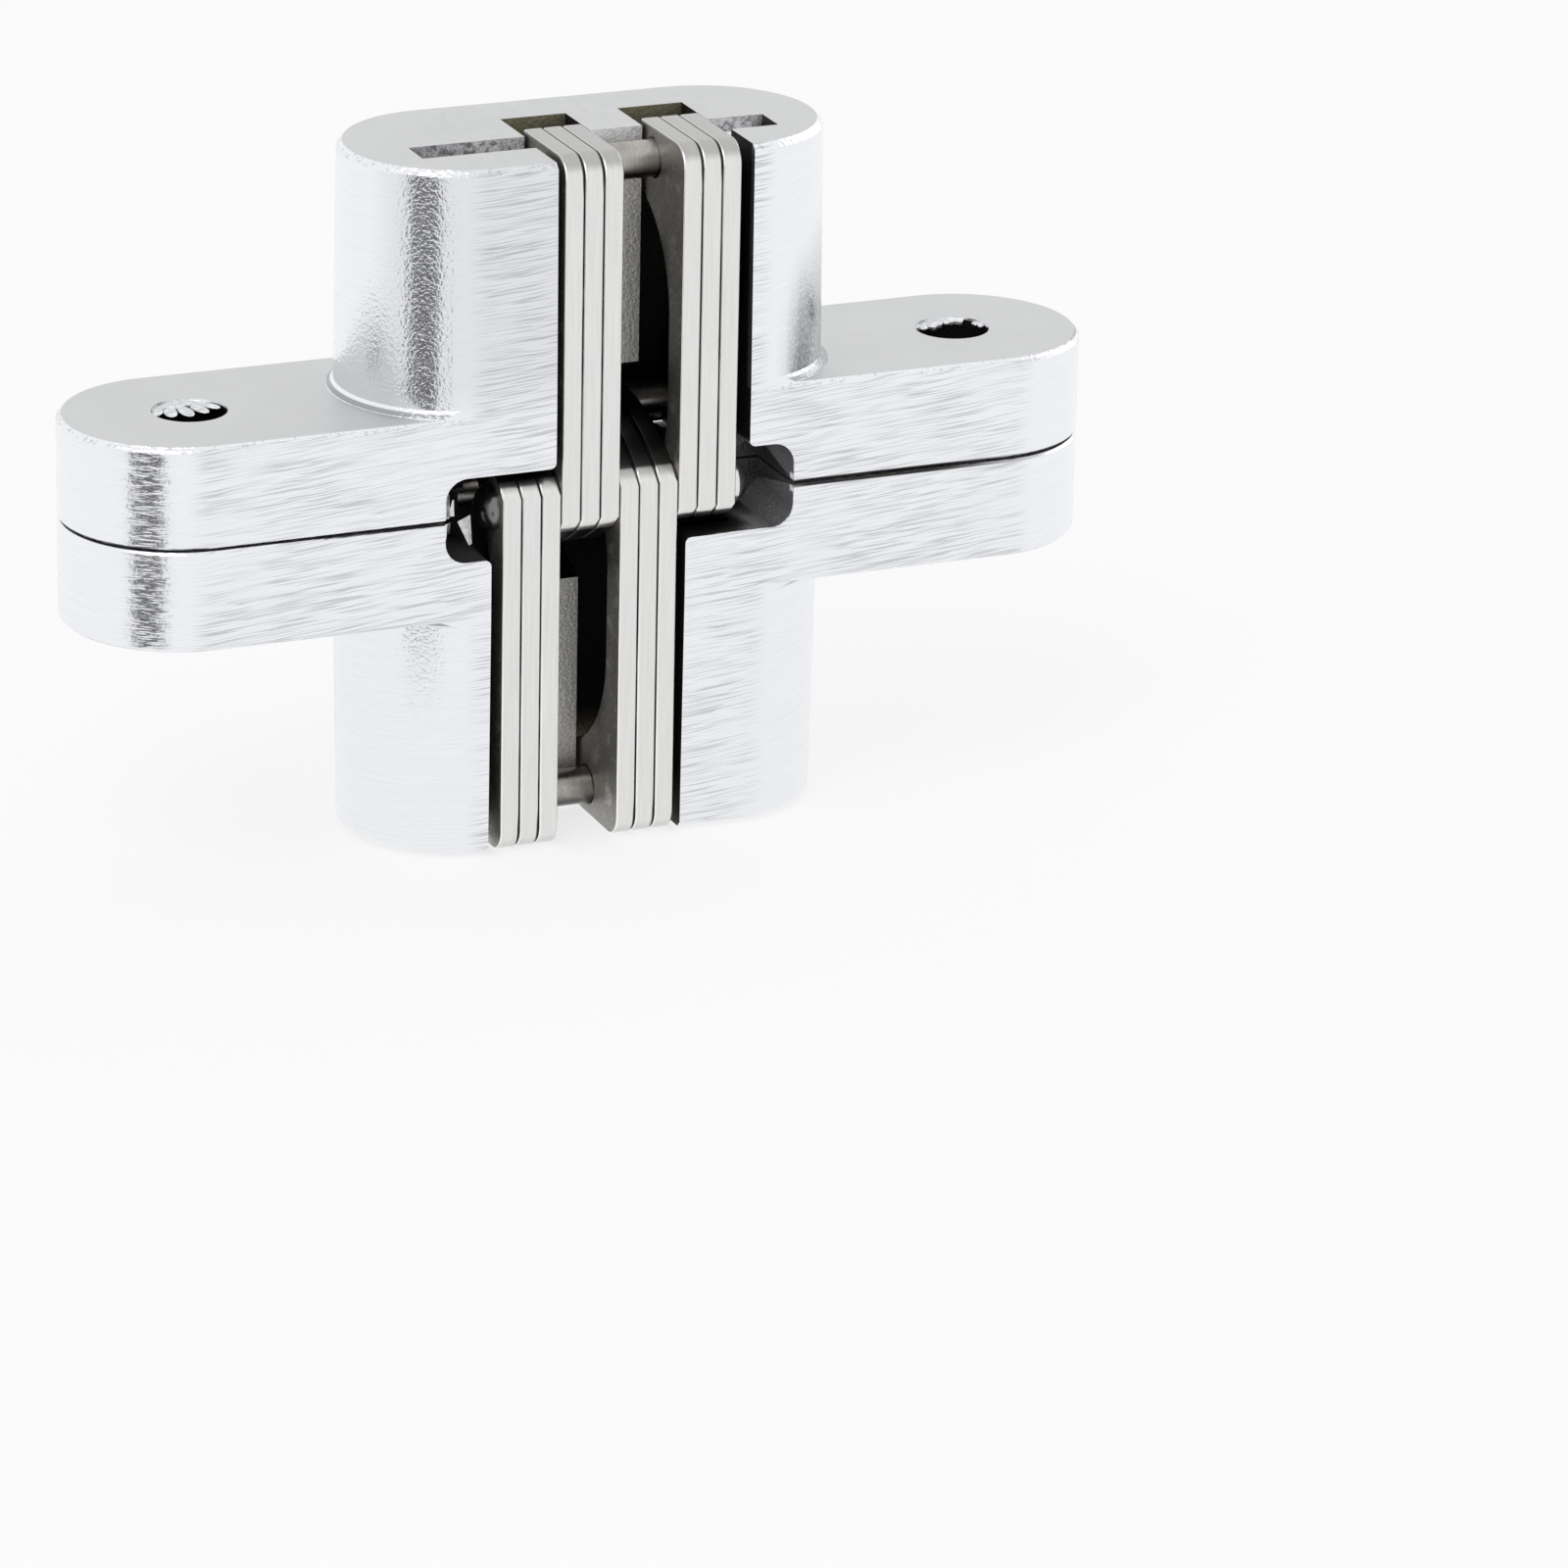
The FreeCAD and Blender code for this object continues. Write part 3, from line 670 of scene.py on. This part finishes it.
class HINGE_OT_leaves(bpy.types.Operator):
    """Gives both leaves their brushed and cast zinc"""
    bl_idname = "hinge.leaves"
    bl_label = "Leaves"

    def execute(self, context):
        settings = context.scene.hinge_leaf
        finish = leaf_metal(settings)
        steps = ((38, 60, settings.broken, 3), (60, 180, settings.rounding, 2))
        for leaf in LEAVES:
            rounded(leaf + "_housing", steps, finish, settings.corner)
        return {"FINISHED"}


class HINGE_OT_links(bpy.types.Operator):
    """Gives the link plates their stamped steel"""
    bl_idname = "hinge.links"
    bl_label = "Link plates"

    def execute(self, context):
        settings = context.scene.hinge_link
        finish = link_metal(settings)
        steps = ((60, 180, settings.rounding, 2),)
        for leaf in LEAVES:
            for number in range(1, LINKS_A_LEAF + 1):
                rounded("%s_link_%d" % (leaf, number), steps, finish)
        return {"FINISHED"}


class HINGE_OT_pins(bpy.types.Operator):
    """Gives the five pins their turned steel"""
    bl_idname = "hinge.pins"
    bl_label = "Pins"

    def execute(self, context):
        finish = pin_metal(context.scene.hinge_link)
        pins = ["centre_pin"] + [leaf + kind for leaf in LEAVES for kind in ("_pivot_pin", "_slide_pin")]
        for name in pins:
            dress(NODES[name], finish)
        return {"FINISHED"}


class HINGE_OT_hole_flash(bpy.types.Operator):
    """Adds the torn casting flash that half closes the upper leaf's screw holes"""
    bl_idname = "hinge.hole_flash"
    bl_label = "Screw hole flash"

    def execute(self, context):
        finish = flash_metal(context.scene.hinge_leaf)
        left = bmesh.new()
        middle = Vector((-SCREW_SPACING / 2, 0, FLANGE_TOP - FLASH_SUNK))
        skin(left, middle, self.left_edge)
        for x, y, turn, size in LEFT_LUMPS:
            lump(left, middle + Vector((x, y, FLASH_THICKNESS / 2)), (size, size * 2.2, 0.24), turn)
        finished("left_hole_flash", left, finish, "upper_leaf")
        right = bmesh.new()
        middle = Vector((SCREW_SPACING / 2, 0, FLANGE_TOP - FLASH_SUNK))
        skin(right, middle, self.right_edge)
        for x, y, size in RIGHT_LUMPS:
            lump(right, middle + Vector((x, y, FLASH_THICKNESS / 2)), (size, size, 0.22))
        finished("right_hole_flash", right, finish, "upper_leaf")
        return {"FINISHED"}

    def left_edge(self, x):
        """How far back the left skin's ragged edge lies at x."""
        return 1.9 + 0.3 * math.sin(x * 2.6) + 0.08 * x

    def right_edge(self, x):
        """How far back the right skin's ragged edge lies at x."""
        return 2.2 + 0.45 * math.sin(x * 1.9 + 0.8) + 0.2 * math.sin(x * 5.0) + 0.25 * x


class HINGE_OT_mouth_flash(bpy.types.Operator):
    """Adds the torn flash at the left end of the recess between the leaves"""
    bl_idname = "hinge.mouth_flash"
    bl_label = "Recess flash"

    def execute(self, context):
        finish = flash_metal(context.scene.hinge_leaf)
        for leaf, side in (("upper", 1), ("lower", -1)):
            mesh = bmesh.new()
            for x, y, z, turn, lean, width, height in SHARDS[leaf]:
                shard(mesh, Vector((x, y, z)), turn, lean, width, height, side)
            finished(leaf + "_recess_flash", mesh, finish, leaf + "_leaf")
        return {"FINISHED"}


class HINGE_OT_studio(bpy.types.Operator):
    """Adds the floor, the lamps, the surroundings and the camera"""
    bl_idname = "hinge.studio"
    bl_label = "Studio"

    def execute(self, context):
        studio = context.scene.hinge_studio
        self.floor(studio)
        self.surroundings(context.scene, studio)
        self.lamps(context.scene, studio)
        self.near_floor()
        self.dark_card()
        self.camera(context.scene, studio)
        context.scene.view_settings.view_transform = "Standard"
        return {"FINISHED"}

    def floor(self, studio):
        """Large white floor that glows a little to the camera. The metal doesn't mirror it."""
        mesh = bmesh.new()
        bmesh.ops.create_grid(mesh, x_segments=1, y_segments=1, size=studio.floor_size / 2)
        bmesh.ops.translate(mesh, vec=(0, 0, CAD_BOX[0].z - 0.05 * MM), verts=mesh.verts)
        made, s = material("white_floor")
        paint = s.node("ShaderNodeBsdfDiffuse", Color=grey(FLOOR_PAINT))
        glow = s.node("ShaderNodeEmission", Color=grey(1), Strength=1.0)
        seen = s.node("ShaderNodeLightPath", output="Is Camera Ray") * FLOOR_GLOW_SHARE
        s.node("ShaderNodeOutputMaterial", Surface=s.node("ShaderNodeMixShader", {}, seen, paint, glow))
        floor = self.staged("floor", mesh, made)
        floor.visible_glossy = False

    def surroundings(self, scene, studio):
        """White all round where it is seen or mirrored, and a weaker light from all round."""
        world = bpy.data.worlds.new("studio")
        world.use_nodes = True
        scene.world = world
        s = Shader(world.node_tree)
        rays = [s.node("ShaderNodeLightPath", output=kind)
                for kind in ("Is Camera Ray", "Is Glossy Ray", "Is Transmission Ray")]
        seen = rays[0].high(rays[1]).high(rays[2])
        fill = s.node("ShaderNodeBackground", Color=grey(1), Strength=studio.fill)
        white = s.node("ShaderNodeBackground", Color=grey(1), Strength=1.0)
        s.node("ShaderNodeOutputWorld", Surface=s.node("ShaderNodeMixShader", {}, seen, fill, white))

    def lamps(self, scene, studio):
        for name, place, size, share in LAMPS:
            data = bpy.data.lights.new(name, "AREA")
            data.size = size
            data.energy = studio.key * share
            lamp = bpy.data.objects.new(name, data)
            lamp.location = place
            lamp.rotation_euler = (-Vector(place)).to_track_quat("-Z", "Y").to_euler()
            scene.collection.objects.link(lamp)

    def near_floor(self):
        """White disc under the hinge that hides the dark card from its foot."""
        mesh = bmesh.new()
        bmesh.ops.create_circle(mesh, cap_ends=True, segments=48, radius=NEAR_FLOOR * MM)
        bmesh.ops.translate(mesh, vec=(0, 0, CAD_BOX[0].z - 0.04 * MM), verts=mesh.verts)
        made, s = material("near_floor")
        glow = s.node("ShaderNodeEmission", Strength=NEAR_FLOOR_GLOW)
        s.node("ShaderNodeOutputMaterial", Surface=glow)
        self.only_mirrored(self.staged("near_floor", mesh, made))

    def dark_card(self):
        """Upright dark card that gives the round ends their dark band."""
        bottom, top = (CARD_REACH * math.tan(math.radians(angle)) for angle in (CARD_BOTTOM, CARD_TOP))
        across = 2 * CARD_REACH * math.tan(math.radians(CARD_WIDTH / 2))
        place = (Matrix.Rotation(math.radians(-CARD_BEARING), 4, "Z")
                 @ Matrix.Translation((0, -CARD_REACH, (bottom + top) / 2))
                 @ Matrix.Rotation(math.pi / 2, 4, "X") @ Matrix.Diagonal((across, top - bottom, 1, 1)))
        mesh = bmesh.new()
        bmesh.ops.create_grid(mesh, x_segments=1, y_segments=1, size=0.5)
        bmesh.ops.transform(mesh, matrix=place, verts=mesh.verts)
        made, s = material("dark_card")
        paint = s.node("ShaderNodeBsdfDiffuse", Color=grey(CARD_PAINT))
        s.node("ShaderNodeOutputMaterial", Surface=paint)
        self.only_mirrored(self.staged("left_card", mesh, made))

    def staged(self, name, mesh, finish):
        """Turns a bmesh in metres into an object of the stage."""
        data = bpy.data.meshes.new(name)
        mesh.to_mesh(data)
        mesh.free()
        data.materials.append(finish)
        made = bpy.data.objects.new(name, data)
        bpy.context.scene.collection.objects.link(made)
        return made

    def only_mirrored(self, card):
        card.visible_camera = False
        card.visible_diffuse = False
        card.visible_shadow = False

    def camera(self, scene, studio):
        turn = (Matrix.Rotation(studio.turn, 3, "Z") @ Matrix.Rotation(-studio.tilt, 3, "X")
                @ Matrix.Rotation(studio.roll, 3, "Y"))
        data = bpy.data.cameras.new("camera")
        data.lens = studio.focal_length
        data.sensor_width = 36.0
        data.clip_start = 0.01
        data.clip_end = 50.0
        camera = bpy.data.objects.new("camera", data)
        camera.matrix_world = (Matrix.Translation(turn @ -Vector(studio.aim))
                               @ (turn @ Matrix.Rotation(math.pi / 2, 3, "X")).to_4x4())
        scene.collection.objects.link(camera)
        scene.camera = camera


class HINGE_PT_sidebar(bpy.types.Panel):
    """Lists the hinge's pieces and their settings"""
    bl_idname = "HINGE_PT_sidebar"
    bl_label = "Concealed hinge"
    bl_space_type = "VIEW_3D"
    bl_region_type = "UI"
    bl_category = "Hinge"

    def draw(self, context):
        scene = context.scene
        for title, settings in (("Leaves", scene.hinge_leaf), ("Links and pins", scene.hinge_link),
                                ("Studio", scene.hinge_studio)):
            column = self.layout.column(heading=title)
            for name in settings.bl_rna.properties.keys():
                if name not in ("rna_type", "name"):
                    column.prop(settings, name)
        for operator in OPERATORS:
            self.layout.operator(operator.bl_idname)


GROUPS = {"hinge_leaf": LeafFinish, "hinge_link": LinkFinish, "hinge_studio": Studio}
OPERATORS = (HINGE_OT_studio, HINGE_OT_leaves, HINGE_OT_links, HINGE_OT_pins, HINGE_OT_hole_flash,
             HINGE_OT_mouth_flash)
CLASSES = (*GROUPS.values(), *OPERATORS, HINGE_PT_sidebar)


def register():
    for item in CLASSES:
        bpy.utils.register_class(item)
    for name, group in GROUPS.items():
        setattr(bpy.types.Scene, name, PointerProperty(type=group))


def unregister():
    for name in GROUPS:
        delattr(bpy.types.Scene, name)
    for item in reversed(CLASSES):
        bpy.utils.unregister_class(item)


def main():
    register()
    bpy.ops.hinge.studio()
    bpy.ops.hinge.leaves()
    bpy.ops.hinge.links()
    bpy.ops.hinge.pins()
    bpy.ops.hinge.hole_flash()
    bpy.ops.hinge.mouth_flash()


if __name__ == "__main__":
    main()
